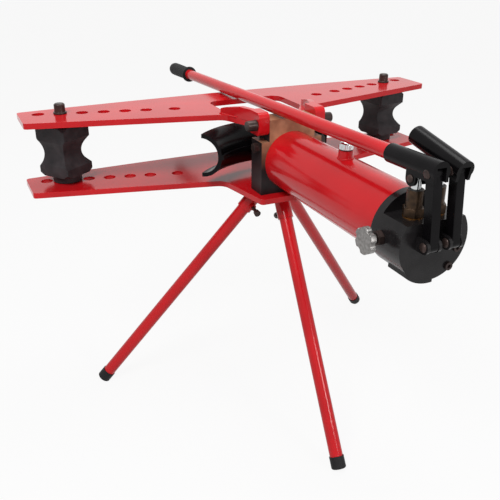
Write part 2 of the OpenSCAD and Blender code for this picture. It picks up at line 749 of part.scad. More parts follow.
// Pump body: round collar, milled flat, ears for the links, bores for barrels, valves and release screw
module ear_pair(x) {
    for (side = [-1, 1]) {
        ear_x = x + side * (link_w / 2 + side_gap + ear_t / 2) - ear_t / 2;
        across_x(ear_x, base_y, base_z) cylinder(r = ear_r, h = ear_t);
        translate([ear_x, base_y, base_z - ear_r]) cube([ear_t, pump_back - base_y + over, 2 * ear_r]);
    }
}
module pump_body() {
    color(BLACK) bench() difference() {
        union() {
            along_y(pump_y - collar_len) cylinder(r = pump_r, h = collar_len);
            along_y(pump_y) cylinder(r = tank_r_in - seat_gap, h = spigot_len);
            difference() {
                along_y(pump_back) cylinder(r = pump_r, h = pump_len - collar_len);
                translate([-pump_r, pump_back - over, flat_z]) cube([pump_d, pump_len, pump_r]);
            }
            intersection() {
                along_y(pump_back) cylinder(r = foot_boss_r, h = foot_boss_len);
                translate([foot_boss_x[0], pump_back, axis_z - 2 * pump_r])
                    cube([foot_boss_x[1] - foot_boss_x[0], foot_boss_len, pump_d]);
            }
            for (x = pump_xs) ear_pair(x);
        }
        along_y(pump_y + spigot_len - seat_depth) cylinder(d = pressure_d + 2 * seat_gap, h = seat_depth + over);
        along_y(pump_y + spigot_len / 2) ring(tank_r_in - ring_d / 2, ring_d + seat_gap);
        for (x = pump_xs) {
            translate([x, pump_axis_y, chamber_floor]) cylinder(d = chamber_d, h = flat_z);
            translate([x, pump_axis_y, flat_z - spigot_depth - over])
                cylinder(d = spigot_d + 2 * seat_gap, h = spigot_depth + 2 * over);
            across_x(x - link_w - ear_t, base_y, base_z) cylinder(d = lever_pin_d + 2 * seat_gap, h = 2 * (link_w + ear_t));
        }
        for (p = plug_spots) along_y(pump_back - over) translate([p.x, axis_z - p.y - plug_d / 2, 0])
            cylinder(d = plug_d + 2 * seat_gap, h = plug_depth + over);
        across_x(-2 * pump_r, release_y, release_z) cylinder(d = release_d + 2 * run_gap, h = pump_r + spindle_in);
        across_x(-2 * pump_r, release_y, release_z) cylinder(d = gland_hex + 2 * over, h = pump_r + over);
    }
}
module pump_barrel(k) {
    color(DARK) bench() translate([pump_xs[k], pump_axis_y, 0]) difference() {
        union() {
            translate([0, 0, flat_z - spigot_depth]) cylinder(d = spigot_d, h = spigot_depth + barrel_len);
            translate([0, 0, flat_z + washer_t]) cylinder(r = hex_r, h = hex_h, $fn = 6);
            translate([0, 0, flat_z + washer_t + hex_h]) cylinder(d = barrel_d, h = barrel_len - hex_h - washer_t);
        }
        translate([0, 0, flat_z - spigot_depth - over])
            cylinder(d = plunger_d + 2 * run_gap, h = spigot_depth + barrel_len + 2 * over);
        translate([0, 0, flat_z + barrel_len - seal_h])
            cylinder(d = plunger_d + 2 * seal_w + 2 * seat_gap, h = seal_h + over);
    }
}
module pump_barrel_left() { pump_barrel(0); }
module pump_barrel_right() { pump_barrel(1); }
module barrel_washers() {
    color(BRASS) bench() for (x = pump_xs) translate([x, pump_axis_y, flat_z])
        tube(hex_af / 2 + over, spigot_d / 2 + seat_gap, washer_t);
}
module plunger_seals() {
    color(BLACK) bench() for (x = pump_xs) translate([x, pump_axis_y, flat_z + barrel_len - seal_h])
        tube(plunger_d / 2 + seal_w, plunger_d / 2 + run_gap, seal_h);
}
module link_base_pins() {
    pin_l = link_w + 2 * (side_gap + ear_t);
    color(STEEL) bench() for (x = pump_xs) across_x(x - pin_l / 2, base_y, base_z)
        cylinder(d = lever_pin_d, h = pin_l);
}
module valve_balls() {
    color(STEEL) bench() for (x = pump_xs) translate([x, pump_axis_y, chamber_floor + ball_d / 2]) sphere(d = ball_d);
}
module valve_springs() {
    color(STEEL) bench() for (x = pump_xs) translate([x, pump_axis_y, chamber_floor + ball_d - valve_seat])
        helix(valve_r, valve_wire, flat_z - spigot_depth - chamber_floor - ball_d + valve_seat - side_gap, valve_turns);
}
module valve_plugs() {
    color(STEEL) bench() for (p = plug_spots) along_y(pump_back - plug_head)
        translate([p.x, axis_z - p.y - plug_d / 2, 0]) difference() {
            cylinder(d = plug_d, h = plug_depth + plug_head);
            translate([0, 0, -over]) cylinder(d = plug_hex, h = plug_head + over, $fn = 6);
        }
}
module release_gland() {
    color(STEEL) bench() difference() {
        across_x(-pump_r - gland_t, release_y, release_z) cylinder(d = gland_hex, h = gland_t + over, $fn = 6);
        across_x(-2 * pump_r, release_y, release_z) cylinder(d = release_d + 2 * run_gap, h = pump_d);
    }
}
module release_spindle() {
    inner_x = -pump_r + spindle_in - 2 * over;
    outer_x = -pump_r - gland_t - knob_gap;
    color(STEEL) bench() across_x(outer_x, release_y, release_z) cylinder(d = release_d, h = inner_x - outer_x);
}
module release_knob() {
    outer_x = -pump_r - gland_t - knob_gap;
    lobe_r = knob_d * sin(180 / knob_lobes) / 3;
    color(STEEL) bench() across_x(outer_x - knob_t, release_y, release_z) difference() {
        union() {
            cylinder(d = knob_d, h = knob_t);
            translate([0, 0, knob_t]) tube(knob_hub_d / 2, release_d / 2 + seat_gap, knob_gap - over);
        }
        for (k = [0:knob_lobes - 1]) rotate(360 * (k + 1 / 2) / knob_lobes) translate([(knob_d + lobe_r) / 2, 0, -over])
            cylinder(r = lobe_r, h = knob_t + 2 * over);
    }
}

// Levers, links, pins and plungers
function plunger_pin(k) = pivot(k) + turned([plunger_arm, -plunger_drop], slopes[k]);
module lever(k) {
    color(BLACK) bench() lever_placed(k) difference() {
        union() {
            translate([0, -socket_back, socket_rise]) rotate([-90, 0, 0])
                cylinder(d = socket_d, h = socket_reach + socket_back);
            across_x(-cheek_half_w, plunger_arm, -plunger_drop) cylinder(r = cheek_r, h = 2 * cheek_half_w);
            translate([-cheek_half_w, plunger_arm - cheek_r, -plunger_drop])
                cube([2 * cheek_half_w, 2 * cheek_r, plunger_drop + socket_rise]);
            translate([-cheek_half_w, -socket_back, -cheek_r])
                cube([2 * cheek_half_w, plunger_arm + socket_back, cheek_r + socket_rise]);
        }
        translate([-slot_half_w, -socket_back - over, -2 * plunger_drop])
            cube([2 * slot_half_w, slot_front + socket_back + over, 2 * plunger_drop + link_r + 2 * side_gap]);
        translate([0, socket_reach - socket_bore, socket_rise]) rotate([-90, 0, 0])
            cylinder(d = handle_d + 2 * run_gap, h = socket_bore + over);
        across_x(-2 * cheek_half_w, 0, 0) cylinder(d = lever_pin_d + 2 * seat_gap, h = 4 * cheek_half_w);
        across_x(-2 * cheek_half_w, plunger_arm, -plunger_drop)
            cylinder(d = plunger_pin_d + 2 * seat_gap, h = 4 * cheek_half_w);
    }
}
module lever_left() { lever(0); }
module lever_right() { lever(1); }
module link(k) {
    len = norm(link_rise);
    color(BLACK) bench() translate([pump_xs[k], base_y, base_z])
        rotate([lean(k) - atan2(link_rise.x, link_rise.y), 0, 0])
        difference() {
            union() {
                for (z = [0, len]) across_x(-link_w / 2, 0, z) cylinder(r = link_r, h = link_w);
                translate([-link_w / 2, -link_neck / 2, 0]) cube([link_w, link_neck, len]);
            }
            for (z = [0, len]) across_x(-link_w, 0, z) cylinder(d = lever_pin_d + 2 * run_gap, h = 2 * link_w);
        }
}
module link_left() { link(0); }
module link_right() { link(1); }
module link_pin(k) {
    color(STEEL) bench() across_x(pump_xs[k] - cheek_half_w, pivot(k).x, pivot(k).y)
        cylinder(d = lever_pin_d, h = 2 * cheek_half_w);
}
module link_pin_left() { link_pin(0); }
module link_pin_right() { link_pin(1); }
module plunger_pin_bar(k) {
    p = plunger_pin(k);
    color(STEEL) bench() across_x(pump_xs[k] - cheek_half_w, p.x, p.y)
        cylinder(d = plunger_pin_d, h = 2 * cheek_half_w);
}
module plunger_pin_left() { plunger_pin_bar(0); }
module plunger_pin_right() { plunger_pin_bar(1); }
module plunger(k) {
    lift = plunger_pin(k).y - plunger_pin(0).y;
    eye_z = plunger_pin(k).y;
    half_run = plunger_pin_run / 2;
    color(STEEL) bench() translate([pump_xs[k], pump_axis_y, 0]) difference() {
        translate([0, 0, plunger_low + lift]) cylinder(d = plunger_d, h = eye_z + plunger_eye - plunger_low - lift);
        for (y = [-half_run, half_run]) across_x(-plunger_d, y, eye_z)
            cylinder(d = plunger_pin_d + 2 * plunger_pin_gap, h = 2 * plunger_d);
        translate([-plunger_d, -half_run, eye_z - plunger_pin_d / 2 - plunger_pin_gap])
            cube([2 * plunger_d, plunger_pin_run, plunger_pin_d + 2 * plunger_pin_gap]);
    }
}
module plunger_left() { plunger(0); }
module plunger_right() { plunger(1); }
module handle_tube() {
    start = socket_reach - socket_bore + side_gap;
    color(RED) bench() lever_placed(0) translate([0, start, socket_rise]) rotate([-90, 0, 0])
        tube(handle_d / 2, handle_d / 2 - handle_wall, handle_reach - grip_cap - start);
}
module handle_grip() {
    color(BLACK) bench() lever_placed(0) translate([0, handle_reach - grip_len, socket_rise]) rotate([-90, 0, 0])
        difference() {
            union() {
                cylinder(d = grip_d, h = grip_len);
                cylinder(d = grip_collar_d, h = grip_collar_t);
            }
            translate([0, 0, -over]) cylinder(d = handle_d + 2 * seat_gap, h = grip_len - grip_cap + over);
        }
}

lower_wing_plate();
upper_wing_plate();
frame_block();
hinge_lugs();
hinge_bolts();
side_bolts();
block_screws();
tripod_plate();
leg_sockets();
reservoir_tube();
pressure_tube();
rod_guide();
rod_wiper();
reservoir_seals();
pump_body();
pump_barrel_left();
pump_barrel_right();
barrel_washers();
plunger_seals();
link_base_pins();
valve_balls();
valve_springs();
valve_plugs();
release_gland();
filler_boss();
filler_seal();
ram_rod();
piston();
piston_seal();
return_spring();
bending_die();
die_pin();
roller_left();
roller_right();
roller_pin_left();
roller_pin_right();
link_left();
link_right();
lever_left();
lever_right();
link_pin_left();
link_pin_right();
plunger_pin_left();
plunger_pin_right();
plunger_left();
plunger_right();
handle_tube();
handle_grip();
release_spindle();
release_knob();
filler_cap();
leg_left();
leg_right();
leg_rear();
foot_left();
foot_right();
foot_rear();
thumb_screw_left();
thumb_screw_right();
thumb_screw_rear();
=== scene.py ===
import json
import math
import bmesh
import bpy
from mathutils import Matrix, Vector


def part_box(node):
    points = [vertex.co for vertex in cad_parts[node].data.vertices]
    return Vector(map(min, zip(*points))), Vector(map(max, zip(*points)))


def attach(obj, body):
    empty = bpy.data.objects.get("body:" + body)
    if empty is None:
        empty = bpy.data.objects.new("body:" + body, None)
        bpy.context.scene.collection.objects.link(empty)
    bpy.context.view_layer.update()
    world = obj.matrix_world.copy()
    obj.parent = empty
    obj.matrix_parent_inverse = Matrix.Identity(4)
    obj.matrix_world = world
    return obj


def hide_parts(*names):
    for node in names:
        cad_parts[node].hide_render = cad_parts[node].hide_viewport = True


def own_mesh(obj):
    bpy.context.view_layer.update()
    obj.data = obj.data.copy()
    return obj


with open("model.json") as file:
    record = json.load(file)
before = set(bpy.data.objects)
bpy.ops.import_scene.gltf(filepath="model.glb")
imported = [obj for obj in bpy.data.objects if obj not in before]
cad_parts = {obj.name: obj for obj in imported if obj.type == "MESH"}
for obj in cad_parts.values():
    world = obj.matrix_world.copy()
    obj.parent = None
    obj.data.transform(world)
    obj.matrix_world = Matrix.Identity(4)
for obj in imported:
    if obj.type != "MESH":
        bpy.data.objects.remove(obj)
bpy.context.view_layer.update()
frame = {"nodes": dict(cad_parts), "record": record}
mm = 0.001
up = Vector((0, 0, 1))
record = frame["record"]
bodyOf = {node: body for body, nodes in record["behaviour"]["bodies"].items() for node in nodes}
slotOf = {part["node"]: part["material_slot"] for part in record["subparts"]}
print("frame loaded,", len(frame["nodes"]), "nodes")


# sRGB hex to linear
def linear(hexColour):
    parts = [int(hexColour[i:i + 2], 16) / 255 for i in (1, 3, 5)]
    return tuple(c / 12.92 if c <= 0.04045 else ((c + 0.055) / 1.055) ** 2.4 for c in parts) + (1.0,)


# links or plain values onto a node's own sockets
def plug(tree, node, inputs):
    for name, value in inputs.items():
        if isinstance(value, bpy.types.NodeSocket):
            tree.links.new(value, node.inputs[name])
        else:
            node.inputs[name].default_value = value


# one node with its settings, its links or values, and its ramp stops
def add(tree, kind, inputs=None, stops=None, **settings):
    node = tree.nodes.new(kind)
    for name, value in settings.items():
        setattr(node, name, value)
    plug(tree, node, inputs or {})
    if stops:
        ramp = node.color_ramp.elements
        while len(ramp) < len(stops):
            ramp.new(0.5)
        for element, (share, colour) in zip(ramp, stops):
            element.position = share
            element.color = linear(colour)
    return node


def startMaterial(name):
    material = bpy.data.materials.new(name)
    material.use_nodes = True
    tree = material.node_tree
    return material, tree, tree.nodes["Principled BSDF"], add(tree, "ShaderNodeTexCoord").outputs["Object"]


# Stoved red enamel sprayed on steel: deep even red, clear reflections, a faint orange peel
redEnamel, tree, shader, spot = startMaterial("redEnamel")
cloud = add(tree, "ShaderNodeTexNoise", {"Vector": spot, "Scale": 1 / (120 * mm), "Detail": 2.0})
tone = add(tree, "ShaderNodeValToRGB", {"Fac": cloud.outputs["Fac"]},
           stops=[(0.3, "#b51118"), (0.7, "#c7181f")])
# the peel of the real film is finer, and is drawn at 9 mm so that it shows
peel = add(tree, "ShaderNodeTexNoise", {"Vector": spot, "Scale": 1 / (9 * mm), "Detail": 1.0})
sheen = add(tree, "ShaderNodeMapRange", {"Value": cloud.outputs["Fac"], "To Min": 0.12, "To Max": 0.2})
skin = add(tree, "ShaderNodeBump", {"Height": peel.outputs["Fac"], "Strength": 0.04, "Distance": 0.2 * mm})
plug(tree, shader, {"Base Color": tone.outputs["Color"], "Roughness": sheen.outputs["Result"],
                    "Normal": skin.outputs["Normal"], "IOR": 1.42, "Specular IOR Level": 0.32})

# Black machine enamel on forgings and the die: near black, satin, slightly uneven film
blackEnamel, tree, shader, spot = startMaterial("blackEnamel")
cloud = add(tree, "ShaderNodeTexNoise", {"Vector": spot, "Scale": 1 / (40 * mm), "Detail": 4.0})
tone = add(tree, "ShaderNodeValToRGB", {"Fac": cloud.outputs["Fac"]},
           stops=[(0.3, "#080708"), (0.7, "#0f0d0f")])
grit = add(tree, "ShaderNodeTexNoise", {"Vector": spot, "Scale": 1 / (3 * mm), "Detail": 3.0})
sheen = add(tree, "ShaderNodeMapRange", {"Value": cloud.outputs["Fac"], "To Min": 0.18, "To Max": 0.3})
skin = add(tree, "ShaderNodeBump", {"Height": grit.outputs["Fac"], "Strength": 0.07, "Distance": 0.25 * mm})
plug(tree, shader, {"Base Color": tone.outputs["Color"], "Roughness": sheen.outputs["Result"],
                    "Normal": skin.outputs["Normal"], "IOR": 1.45, "Specular IOR Level": 0.11})

# Thin black lacquer straight on the pump's casting: dark grey, satin, the casting's skin still felt
pumpLacquer, tree, shader, spot = startMaterial("pumpLacquer")
cloud = add(tree, "ShaderNodeTexNoise", {"Vector": spot, "Scale": 1 / (30 * mm), "Detail": 4.0})
tone = add(tree, "ShaderNodeValToRGB", {"Fac": cloud.outputs["Fac"]},
           stops=[(0.3, "#121011"), (0.7, "#1f1d1e")])
grit = add(tree, "ShaderNodeTexNoise", {"Vector": spot, "Scale": 1 / (2.5 * mm), "Detail": 3.0})
sheen = add(tree, "ShaderNodeMapRange", {"Value": cloud.outputs["Fac"], "To Min": 0.18, "To Max": 0.3})
skin = add(tree, "ShaderNodeBump", {"Height": grit.outputs["Fac"], "Strength": 0.18, "Distance": 0.3 * mm})
plug(tree, shader, {"Base Color": tone.outputs["Color"], "Roughness": sheen.outputs["Result"],
                    "Normal": skin.outputs["Normal"], "Specular IOR Level": 0.2})

# Sand-cast grey iron, oiled black: brown black, dull, grainy from the mould
castIron, tree, shader, spot = startMaterial("castIron")
cloud = add(tree, "ShaderNodeTexNoise", {"Vector": spot, "Scale": 1 / (25 * mm), "Detail": 5.0})
tone = add(tree, "ShaderNodeValToRGB", {"Fac": cloud.outputs["Fac"]},
           stops=[(0.28, "#211e20"), (0.72, "#3a3537")])
# the sand's grain is finer, and is drawn at 2.2 mm so that it shows
sand = add(tree, "ShaderNodeTexNoise", {"Vector": spot, "Scale": 1 / (2.2 * mm), "Detail": 4.0,
                                        "Roughness": 0.6})
sheen = add(tree, "ShaderNodeMapRange", {"Value": sand.outputs["Fac"], "To Min": 0.4, "To Max": 0.6})
skin = add(tree, "ShaderNodeBump", {"Height": sand.outputs["Fac"], "Strength": 0.4, "Distance": 0.4 * mm})
plug(tree, shader, {"Base Color": tone.outputs["Color"], "Roughness": sheen.outputs["Result"],
                    "Normal": skin.outputs["Normal"], "Specular IOR Level": 0.16})

# Oiled dark steel of bolts, pins and screws: brown black, a dull shine with smears of handling
darkSteel, tree, shader, spot = startMaterial("oiledDarkSteel")
cloud = add(tree, "ShaderNodeTexNoise", {"Vector": spot, "Scale": 1 / (18 * mm), "Detail": 4.0})
tone = add(tree, "ShaderNodeValToRGB", {"Fac": cloud.outputs["Fac"]},
           stops=[(0.3, "#2b2322"), (0.7, "#453733")])
mill = add(tree, "ShaderNodeTexNoise", {"Vector": spot, "Scale": 1 / (6 * mm), "Detail": 3.0})
sheen = add(tree, "ShaderNodeMapRange", {"Value": cloud.outputs["Fac"], "To Min": 0.28, "To Max": 0.42})
skin = add(tree, "ShaderNodeBump", {"Height": mill.outputs["Fac"], "Strength": 0.08, "Distance": 0.2 * mm})
plug(tree, shader, {"Base Color": tone.outputs["Color"], "Roughness": sheen.outputs["Result"],
                    "Normal": skin.outputs["Normal"], "Metallic": 0.45, "Specular IOR Level": 0.25})

# Flame-cut steel block: black scale on the sides, the milled pump face and crown left bare and gone tan
blockSteel, tree, shader, spot = startMaterial("flameCutSteel")
cloud = add(tree, "ShaderNodeTexNoise", {"Vector": spot, "Scale": 1 / (18 * mm), "Detail": 4.0})
scale = add(tree, "ShaderNodeValToRGB", {"Fac": cloud.outputs["Fac"]},
           stops=[(0.3, "#171415"), (0.7, "#262021")])
bare = add(tree, "ShaderNodeValToRGB", {"Fac": cloud.outputs["Fac"]},
           stops=[(0.3, "#8c6048"), (0.7, "#ad7d60")])
facing = add(tree, "ShaderNodeSeparateXYZ", {"Vector": add(tree, "ShaderNodeNewGeometry").outputs["Normal"]})
height = add(tree, "ShaderNodeSeparateXYZ", {"Vector": spot})
toPump = add(tree, "ShaderNodeMapRange", {"Value": facing.outputs["Y"], "From Min": -0.6, "From Max": -0.9})
upward = add(tree, "ShaderNodeMapRange", {"Value": facing.outputs["Z"], "From Min": 0.6, "From Max": 0.9})
# painted shade: the tan darkens into the black scale from the crown down to the block's middle, shaded by the
# tank
tankShadeFade = add(tree, "ShaderNodeMapRange", {"Value": height.outputs["Z"], "From Min": 570 * mm,
                                        "From Max": 635 * mm})
milled = add(tree, "ShaderNodeMath", {0: toPump.outputs["Result"], 1: upward.outputs["Result"]},
             operation="MAXIMUM")
share = add(tree, "ShaderNodeMath", {0: milled.outputs["Value"], 1: tankShadeFade.outputs["Result"]},
            operation="MULTIPLY")
tone = add(tree, "ShaderNodeMix", {"Factor": share.outputs["Value"], "A": scale.outputs["Color"],
                                   "B": bare.outputs["Color"]}, data_type="RGBA")
sheen = add(tree, "ShaderNodeMapRange", {"Value": cloud.outputs["Fac"], "To Min": 0.34, "To Max": 0.5})
# cutter passes, a band every 19 mm
mill = add(tree, "ShaderNodeTexWave", {"Vector": spot, "Scale": 1 / (60 * mm), "Distortion": 2.0},
           bands_direction="X")
skin = add(tree, "ShaderNodeBump", {"Height": mill.outputs["Fac"], "Strength": 0.06, "Distance": 0.2 * mm})
plug(tree, shader, {"Base Color": tone.outputs["Result"], "Roughness": sheen.outputs["Result"],
                    "Normal": skin.outputs["Normal"], "Specular IOR Level": 0.2})

# Phosphated steel of the pump barrels: brown, a dull shine, mottled
phosphate, tree, shader, spot = startMaterial("phosphatedSteel")
cloud = add(tree, "ShaderNodeTexNoise", {"Vector": spot, "Scale": 1 / (8 * mm), "Detail": 4.0})
tone = add(tree, "ShaderNodeValToRGB", {"Fac": cloud.outputs["Fac"]},
           stops=[(0.3, "#2c2119"), (0.7, "#4a3829")])
sheen = add(tree, "ShaderNodeMapRange", {"Value": cloud.outputs["Fac"], "To Min": 0.3, "To Max": 0.45})
plug(tree, shader, {"Base Color": tone.outputs["Color"], "Roughness": sheen.outputs["Result"],
                    "Metallic": 0.7, "Specular IOR Level": 0.3})

# Machined steel, dulled by oil: mid grey, fine smears of tool marks
brightSteel, tree, shader, spot = startMaterial("machinedSteel")
smear = add(tree, "ShaderNodeTexNoise", {"Vector": spot, "Scale": 1 / (5 * mm), "Detail": 5.0})
tone = add(tree, "ShaderNodeValToRGB", {"Fac": smear.outputs["Fac"]},
           stops=[(0.3, "#6f6c6a"), (0.7, "#949290")])
sheen = add(tree, "ShaderNodeMapRange", {"Value": smear.outputs["Fac"], "To Min": 0.26, "To Max": 0.42})
plug(tree, shader, {"Base Color": tone.outputs["Color"], "Roughness": sheen.outputs["Result"],
                    "Metallic": 1.0})

# Hard chrome on rod and plungers, bright nickel on the cap: mirror grey with a trace of handling
chrome, tree, shader, spot = startMaterial("hardChrome")
trace = add(tree, "ShaderNodeTexNoise", {"Vector": spot, "Scale": 1 / (14 * mm), "Detail": 3.0})
tone = add(tree, "ShaderNodeValToRGB", {"Fac": trace.outputs["Fac"]},
           stops=[(0.3, "#c3c5c6"), (0.7, "#d8dadb")])
sheen = add(tree, "ShaderNodeMapRange", {"Value": trace.outputs["Fac"], "To Min": 0.1, "To Max": 0.22})
plug(tree, shader, {"Base Color": tone.outputs["Color"], "Roughness": sheen.outputs["Result"],
                    "Metallic": 1.0})

# Turned bronze and copper washers: warm brown metal, a little dulled
bronze, tree, shader, spot = startMaterial("turnedBronze")
dull = add(tree, "ShaderNodeTexNoise", {"Vector": spot, "Scale": 1 / (6 * mm), "Detail": 3.0})
tone = add(tree, "ShaderNodeValToRGB", {"Fac": dull.outputs["Fac"]},
           stops=[(0.3, "#7d5229"), (0.7, "#a8763f")])
sheen = add(tree, "ShaderNodeMapRange", {"Value": dull.outputs["Fac"], "To Min": 0.25, "To Max": 0.4})
plug(tree, shader, {"Base Color": tone.outputs["Color"], "Roughness": sheen.outputs["Result"],
                    "Metallic": 1.0})

# Moulded black rubber: soft dark grey, matte, with a pebble that is drawn at 2 mm so that it shows
rubber, tree, shader, spot = startMaterial("mouldedRubber")
pebble = add(tree, "ShaderNodeTexNoise", {"Vector": spot, "Scale": 1 / (2 * mm), "Detail": 2.0})
tone = add(tree, "ShaderNodeValToRGB", {"Fac": pebble.outputs["Fac"]},
           stops=[(0.3, "#161516"), (0.7, "#232223")])
skin = add(tree, "ShaderNodeBump", {"Height": pebble.outputs["Fac"], "Strength": 0.2, "Distance": 0.2 * mm})
plug(tree, shader, {"Base Color": tone.outputs["Color"], "Normal": skin.outputs["Normal"],
                    "Roughness": 0.55, "Specular IOR Level": 0.16})

finishes = {
    "red_paint": redEnamel, "black_paint": blackEnamel, "black_oxide": darkSteel, "cast_iron": castIron,
    "brown_steel": phosphate, "bright_steel": brightSteel, "chrome": chrome, "bronze": bronze,
    "rubber": rubber,
}
# nodes whose finish differs from their slot's
ownFinish = {"frame_block": blockSteel, "pump_body": pumpLacquer, "bending_die": blackEnamel,
             "release_gland": darkSteel}

# every node takes its finish, also the ones that a dressed piece hides
finishOf = {name: ownFinish.get(name, finishes[slotOf[name]]) for name in frame["nodes"]}
for name, node in frame["nodes"].items():
    node.data.materials.clear()
    node.data.materials.append(finishOf[name])
print("finishes set on", len(finishOf), "nodes")


def put(name, data):
    thing = bpy.data.objects.new(name, data)
    bpy.context.scene.collection.objects.link(thing)
    return thing


# a finished object in the row frame: its modifiers baked, riding on its body
def settle(piece, body):
    graph = bpy.context.evaluated_depsgraph_get()
    mesh = bpy.data.meshes.new_from_object(piece.evaluated_get(graph), preserve_all_data_layers=True,
                                           depsgraph=graph)
    mesh.name = piece.name
    piece.modifiers.clear()
    piece.data = mesh
    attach(piece, body)
    return piece


# the bench frame of the sizes below: X across, Y from the block's pump face, Z from the lower plate's top
bench = {"shiftY": -93.298, "plateTop": 515.0, "axisZ": 68.0}


def at(x, y, z):
    return Vector((x, y + bench["shiftY"], z + bench["plateTop"])) * mm


# points merge within mm, faces join where flat within degrees, corners over sharp degrees are broken
dressing = {"merge": 0.005, "flat": 0.3, "steps": 2, "sharp": 32}


# a CAD node with its triangles merged and its edges broken; each ground plane takes a corner off
def dressed(name, edge, ground=()):
    form = bmesh.new()
    form.from_mesh(frame["nodes"][name].data)
    bmesh.ops.remove_doubles(form, verts=form.verts, dist=dressing["merge"] * mm)
    bmesh.ops.dissolve_limit(form, angle_limit=math.radians(dressing["flat"]), verts=form.verts,
                             edges=form.edges)
    for point, outward in ground:
        every = form.verts[:] + form.edges[:] + form.faces[:]
        cut = bmesh.ops.bisect_plane(form, geom=every, plane_co=point, plane_no=outward, clear_outer=True)
        rim = [e for e in cut["geom_cut"] if isinstance(e, bmesh.types.BMEdge)]
        bmesh.ops.holes_fill(form, edges=rim, sides=0)
    mesh = bpy.data.meshes.new(name + "Dressed")
    form.to_mesh(mesh)
    form.free()
    mesh.materials.append(finishOf[name])
    mesh.polygons.foreach_set("use_smooth", [True] * len(mesh.polygons))
    piece = put(name + "Dressed", mesh)
    bevel = piece.modifiers.new("edge", "BEVEL")
    bevel.width = edge * mm
    bevel.segments = dressing["steps"]
    bevel.limit_method = "ANGLE"
    bevel.angle_limit = math.radians(dressing["sharp"])
    bevel.use_clamp_overlap = True
    bevel.miter_outer = "MITER_ARC"
    normals = piece.modifiers.new("faces", "WEIGHTED_NORMAL")
    normals.keep_sharp = True
    settle(piece, bodyOf[name])
    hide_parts(name)


# broken edges of the pieces, in millimetres
edges = {
    "lower_wing_plate": 1.0, "upper_wing_plate": 1.0, "frame_block": 1.0, "hinge_lugs": 0.6,
    "hinge_bolts": 1.0, "side_bolts": 0.8, "block_screws": 0.6, "tripod_plate": 1.0, "leg_sockets": 0.8,
    "reservoir_tube": 0.8, "filler_boss": 1.0, "pump_body": 1.4, "pump_barrel_left": 0.7,
    "pump_barrel_right": 0.7, "valve_plugs": 0.5, "release_gland": 0.7, "release_knob": 1.6,
    "bending_die": 1.2, "roller_left": 2.0, "roller_right": 2.0, "roller_pin_left": 1.0,
    "roller_pin_right": 1.0, "link_left": 1.2, "link_right": 1.2, "lever_left": 1.0, "lever_right": 1.0,
    "foot_left": 0.8, "foot_right": 0.8, "foot_rear": 0.8, "thumb_screw_left": 0.8,
    "thumb_screw_right": 0.8, "thumb_screw_rear": 0.8, "leg_left": 0.5, "leg_right": 0.5, "leg_rear": 0.5,
    "handle_tube": 0.5, "ram_rod": 0.6, "plunger_left": 0.6, "plunger_right": 0.6,
}
# the two ribs on the upper plate: line of the outer face, slanted and rounded far end, seams at the feet
rib = {"root": (69.85, 23.0), "end": (106.0, 132.0), "inward": (-11.39, 3.78), "crest": 172.0,
       "slantRun": 62.0, "slantFall": 13.0, "noseR": 12.0, "noseEase": 3.0, "noseFacets": (11, 34, 56),
       "outerSeam": (82.0, 130.0), "innerSeam": (58.0, 112.0), "seamZ": 148.3, "seamPoints": 25,
       "seamWidth": 4.6, "seed": 20}
grinds = []
for side in (-1, 1):
    along = Vector((rib["end"][0] - rib["root"][0], rib["end"][1] - rib["root"][1], 0)).normalized()
    along.x *= side
    tip = at(side * rib["end"][0], rib["end"][1], rib["crest"])
    slant = math.atan2(rib["slantFall"], rib["slantRun"])
    grinds.append((tip - along * rib["slantRun"] * mm, along * math.sin(slant) + up * math.cos(slant)))
    drop = rib["slantFall"] + rib["noseR"] - rib["noseEase"]
    middle = tip - along * rib["noseR"] * mm - up * drop * mm
    for facet in rib["noseFacets"]:
        outward = along * math.cos(math.radians(facet)) + up * math.sin(math.radians(facet))
        grinds.append((middle + outward * rib["noseR"] * mm, outward))
for name, edge in edges.items():
    dressed(name, edge, grinds if name == "hinge_lugs" else ())
print("dressed nodes:", len(edges))


# how a profile is turned: points merged and slivers cleared within mm, corners over sharp degrees kept
turning = {"merge": 0.002, "sliver": 0.001, "sharp": 38}


# a closed profile of (radius, along) in mm turned round an axis; flutes wave the points flagged True
def turnedPiece(name, profile, origin, axis, finish, body, steps, flutes=0, depth=0.0):
    frameTurn = axis.normalized().to_track_quat("Z", "Y").to_matrix()
    form = bmesh.new()
    rings = []
    for k in range(steps):
        angle = 2 * math.pi * k / steps
        ring = []
        for point in profile:
            r = point[0] - (depth * (0.5 - 0.5 * math.cos(flutes * angle)) if len(point) > 2 else 0)
            spot = frameTurn @ Vector((r * math.cos(angle), r * math.sin(angle), point[1]))
            ring.append(form.verts.new(origin + spot * mm))
        rings.append(ring)
    count = len(profile)
    for k in range(steps):
        a, b = rings[k], rings[(k + 1) % steps]
        for i in range(count):
            j = (i + 1) % count
            form.faces.new((a[i], b[i], b[j], a[j]))
    bmesh.ops.remove_doubles(form, verts=form.verts, dist=turning["merge"] * mm)
    bmesh.ops.dissolve_degenerate(form, edges=form.edges, dist=turning["sliver"] * mm)
    bmesh.ops.recalc_face_normals(form, faces=form.faces)
    mesh = bpy.data.meshes.new(name)
    form.to_mesh(mesh)
    form.free()
    mesh.materials.append(finish)
    mesh.polygons.foreach_set("use_smooth", [True] * len(mesh.polygons))
    mesh.set_sharp_from_angle(angle=math.radians(turning["sharp"]))
    piece = put(name, mesh)
    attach(piece, body)
    return piece


# an empty tree with its named inputs: the tree, the inputs' identifiers and what comes in
def startTree(name, inputs):
    tree = bpy.data.node_groups.new(name, "GeometryNodeTree")
    tree.interface.new_socket("Geometry", in_out="INPUT", socket_type="NodeSocketGeometry")
    ids = {}
    for label, kind in inputs.items():
        socket = tree.interface.new_socket(label, in_out="INPUT", socket_type="NodeSocket" + kind)
        ids[label] = socket.identifier
    tree.interface.new_socket("Geometry", in_out="OUTPUT", socket_type="NodeSocketGeometry")
    return tree, ids, add(tree, "NodeGroupInput").outputs


